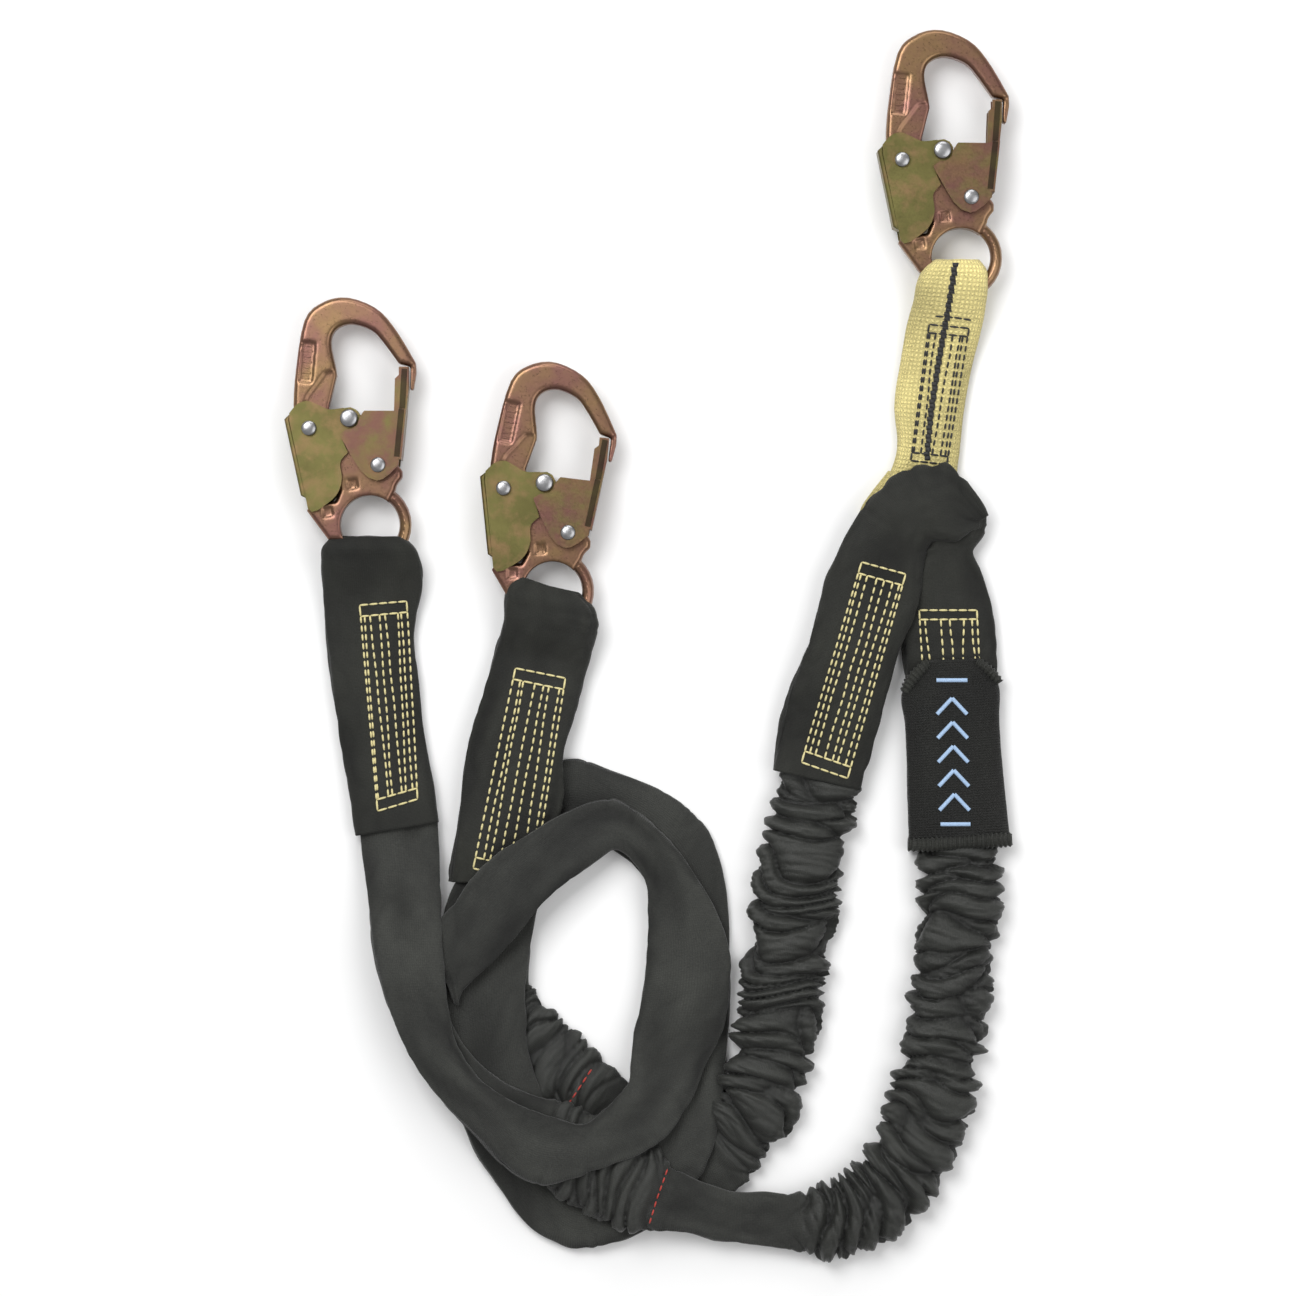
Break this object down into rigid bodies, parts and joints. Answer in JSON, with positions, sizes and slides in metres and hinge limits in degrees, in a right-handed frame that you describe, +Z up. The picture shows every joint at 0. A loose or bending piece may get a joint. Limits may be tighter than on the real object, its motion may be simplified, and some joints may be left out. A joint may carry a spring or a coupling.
{
  "type": "shock absorbing lanyard",
  "caption": "Twin-leg elastic shock absorbing lanyard with double-locking snap hooks, a yellow harness strap, a yoke and gathered tubular legs",
  "frame": {"origin": "centre of the plan extents, on the surface the lanyard lies on", "axes": "+Z is up from the surface, +Y runs across the lay towards the single hook, +X to the right of the plan"},
  "size_m": [0.3622, 0.6138, 0.0248],
  "materials": {
    "forged_zinc": "yellow zinc plated forging, pink-gold iridescence",
    "olive_zinc": "yellow zinc plated sheet steel, olive gold",
    "bright_steel": "bright rivet heads",
    "spring_steel": "drawn spring wire",
    "aramid_webbing": "khaki-yellow aramid webbing",
    "black_sleeve": "near-black woven sleeve",
    "grey_black_tube": "smooth tubular webbing, bluish grey-black",
    "core_webbing": "undyed elastic core webbing",
    "yellow_thread": "pale yellow sewing thread",
    "black_thread": "black sewing thread",
    "red_thread": "red bar tack thread",
    "label_cloth": "black twill cover and bindings",
    "pale_blue_thread": "pale blue embroidery"
  },
  "bodies": {
    "lanyard": {"harness_strap_yoke_loop": "aramid_webbing", "yoke_wear_sleeve": "black_sleeve", "leg_1_long_gathered_sleeve": "black_sleeve", "leg_1_short_gathered_sleeve": "black_sleeve", "leg_2_long_gathered_sleeve": "black_sleeve", "leg_2_short_gathered_sleeve": "black_sleeve", "leg_1_wear_sleeve": "black_sleeve", "leg_2_wear_sleeve": "black_sleeve", "leg_1_short_smooth_sleeve": "grey_black_tube", "leg_1_smooth_sleeve": "grey_black_tube", "leg_2_short_smooth_sleeve": "grey_black_tube", "leg_2_smooth_sleeve": "grey_black_tube", "leg_1_core_webbing": "core_webbing", "leg_2_core_webbing": "core_webbing", "yoke_left_stitching": "yellow_thread", "yoke_right_stitching": "yellow_thread", "leg_1_stitching": "yellow_thread", "leg_2_stitching": "yellow_thread", "leg_1_red_tack": "red_thread", "leg_2_red_tack": "red_thread", "label_cover": "label_cloth", "label_top_binding": "label_cloth", "label_bottom_hem": "label_cloth", "label_embroidery": "pale_blue_thread"},
    "harness_strap_end": {"harness_strap": "aramid_webbing", "harness_strap_stitching": "black_thread"},
    "loop_1": {"hook_1_webbing_loop": "black_sleeve"},
    "loop_2": {"hook_2_webbing_loop": "black_sleeve"},
    "hook_1": {"hook_1_body": "forged_zinc", "hook_1_lever_rivet": "bright_steel", "hook_1_gate_rivet": "bright_steel", "hook_1_gate_spring": "spring_steel", "hook_1_lever_spring": "spring_steel"},
    "gate_1": {"hook_1_gate": "forged_zinc"},
    "lever_1": {"hook_1_lock_lever": "olive_zinc", "hook_1_lock_pin": "bright_steel"},
    "hook_2": {"hook_2_body": "forged_zinc", "hook_2_lever_rivet": "bright_steel", "hook_2_gate_rivet": "bright_steel", "hook_2_gate_spring": "spring_steel", "hook_2_lever_spring": "spring_steel"},
    "gate_2": {"hook_2_gate": "forged_zinc"},
    "lever_2": {"hook_2_lock_lever": "olive_zinc", "hook_2_lock_pin": "bright_steel"},
    "hook_3": {"hook_3_body": "forged_zinc", "hook_3_lever_rivet": "bright_steel", "hook_3_gate_rivet": "bright_steel", "hook_3_gate_spring": "spring_steel", "hook_3_lever_spring": "spring_steel"},
    "gate_3": {"hook_3_gate": "forged_zinc"},
    "lever_3": {"hook_3_lock_lever": "olive_zinc", "hook_3_lock_pin": "bright_steel"}
  },
  "joints": [
    {"name": "harness_strap_swing", "type": "hinge", "parent": "lanyard", "child": "harness_strap_end", "pos_m": [0.13691, 0.08612, 0.0034], "axis": [0.9836, -0.1805, 0], "range_deg": [0, 60]},
    {"name": "hook_1_swing", "type": "hinge", "parent": "lanyard", "child": "loop_1", "pos_m": [-0.13662, 0.02569, 0.0048], "axis": [0.9981, 0.0611, 0], "range_deg": [0, 60]},
    {"name": "hook_2_swing", "type": "hinge", "parent": "lanyard", "child": "loop_2", "pos_m": [-0.05394, -0.00675, 0.0048], "axis": [0.9816, -0.1908, 0], "range_deg": [0, 60]},
    {"name": "hook_1_swivel", "type": "hinge", "parent": "loop_1", "child": "hook_1", "pos_m": [-0.1387, 0.05963, 0.012], "axis": [0, 0, 1], "range_deg": [-25, 20]},
    {"name": "hook_1_lock_lever_turn", "type": "hinge", "parent": "hook_1", "child": "lever_1", "pos_m": [-0.16871, 0.10772, 0.012], "axis": [0, 0, 1], "range_deg": [0, 24], "stiffness_Nm_per_rad": 0.05},
    {"name": "hook_1_gate_turn", "type": "hinge", "parent": "hook_1", "child": "gate_1", "pos_m": [-0.13421, 0.08938, 0.012], "axis": [0, 0, 1], "range_deg": [0, 22], "stiffness_Nm_per_rad": 0.05},
    {"name": "hook_2_swivel", "type": "hinge", "parent": "loop_2", "child": "hook_2", "pos_m": [-0.04745, 0.02663, 0.012], "axis": [0, 0, 1], "range_deg": [-25, 20]},
    {"name": "hook_2_lock_lever_turn", "type": "hinge", "parent": "hook_2", "child": "lever_2", "pos_m": [-0.07173, 0.07785, 0.012], "axis": [0, 0, 1], "range_deg": [0, 24], "stiffness_Nm_per_rad": 0.05},
    {"name": "hook_2_gate_turn", "type": "hinge", "parent": "hook_2", "child": "gate_2", "pos_m": [-0.03957, 0.05567, 0.012], "axis": [0, 0, 1], "range_deg": [0, 22], "stiffness_Nm_per_rad": 0.05},
    {"name": "hook_3_swivel", "type": "hinge", "parent": "harness_strap_end", "child": "hook_3", "pos_m": [0.15655, 0.19313, 0.012], "axis": [0, 0, 1], "range_deg": [-25, 5]},
    {"name": "hook_3_lock_lever_turn", "type": "hinge", "parent": "hook_3", "child": "lever_3", "pos_m": [0.12705, 0.24153, 0.012], "axis": [0, 0, 1], "range_deg": [0, 24], "stiffness_Nm_per_rad": 0.05},
    {"name": "hook_3_gate_turn", "type": "hinge", "parent": "hook_3", "child": "gate_3", "pos_m": [0.16135, 0.22283, 0.012], "axis": [0, 0, 1], "range_deg": [0, 22], "stiffness_Nm_per_rad": 0.05}
  ],
  "couplings": [
    {"joint": "hook_1_gate_turn", "follows": "hook_1_lock_lever_turn", "ratio": 0.9167},
    {"joint": "hook_2_gate_turn", "follows": "hook_2_lock_lever_turn", "ratio": 0.9167},
    {"joint": "hook_3_gate_turn", "follows": "hook_3_lock_lever_turn", "ratio": 0.9167}
  ]
}
